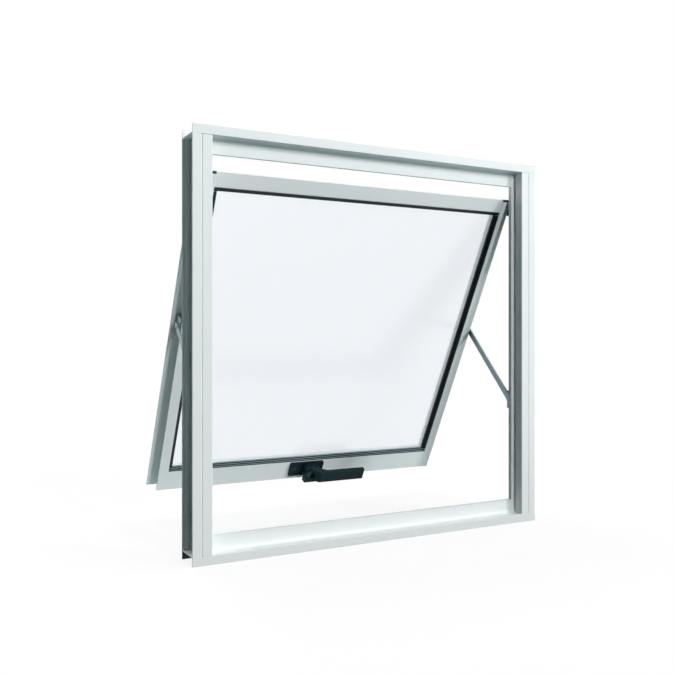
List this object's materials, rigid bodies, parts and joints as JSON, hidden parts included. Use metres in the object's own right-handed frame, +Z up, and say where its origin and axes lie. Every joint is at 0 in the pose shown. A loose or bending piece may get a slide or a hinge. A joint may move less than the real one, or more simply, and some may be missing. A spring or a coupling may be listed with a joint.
{
  "type": "top hung awning window",
  "caption": "Square white aluminium top hung awning window, sash held open on side stays, frosted glass in black beads and a lever latch on the bottom rail.",
  "frame": {"origin": "middle of the underside of the sill's web, half way through the frame's depth", "axes": "+X to the right seen from the room, +Y out of the building, +Z up"},
  "size_m": [0.6, 0.309, 0.6],
  "materials": {
    "white_powder_coat": "white powder coat, semi-gloss",
    "black_bead": "black extruded glazing bead, satin",
    "frosted_glass": "fine-grained obscure glass",
    "black_rubber": "matt black seal",
    "stay_metal": "mill aluminium, dull",
    "black_nylon": "moulded black nylon",
    "latch_rivet": "blackened rivet",
    "black_latch": "black powder coat on die-cast metal, satin"
  },
  "bodies": {
    "window": {"bead_bottom": "black_bead", "bead_left": "black_bead", "bead_right": "black_bead", "bead_top": "black_bead", "frame_head": "white_powder_coat", "frame_left_jamb": "white_powder_coat", "frame_right_jamb": "white_powder_coat", "frame_sill": "white_powder_coat", "glass_pane": "frosted_glass", "glazing_gasket": "black_rubber", "head_weather_seal": "black_rubber", "latch_base": "black_latch", "latch_pin": "latch_rivet", "left_jamb_cover": "white_powder_coat", "left_slider_shoe": "black_nylon", "left_stay_anchor": "stay_metal", "left_stay_arm": "stay_metal", "left_stay_bracket": "stay_metal", "left_weather_seal": "black_rubber", "right_jamb_cover": "white_powder_coat", "right_slider_shoe": "black_nylon", "right_stay_anchor": "stay_metal", "right_stay_arm": "stay_metal", "right_stay_bracket": "stay_metal", "right_weather_seal": "black_rubber", "sash_bottom_rail": "white_powder_coat", "sash_left_stile": "white_powder_coat", "sash_right_stile": "white_powder_coat", "sash_top_rail": "white_powder_coat", "sill_weather_seal": "black_rubber"},
    "lever": {"latch_lever": "black_latch"}
  },
  "joints": [
    {"name": "latch_turn", "type": "hinge", "parent": "window", "child": "lever", "pos_m": [0, 0.23569, 0.05456], "axis": [0, -0.8862, -0.4633], "range_deg": [0, 90]}
  ]
}
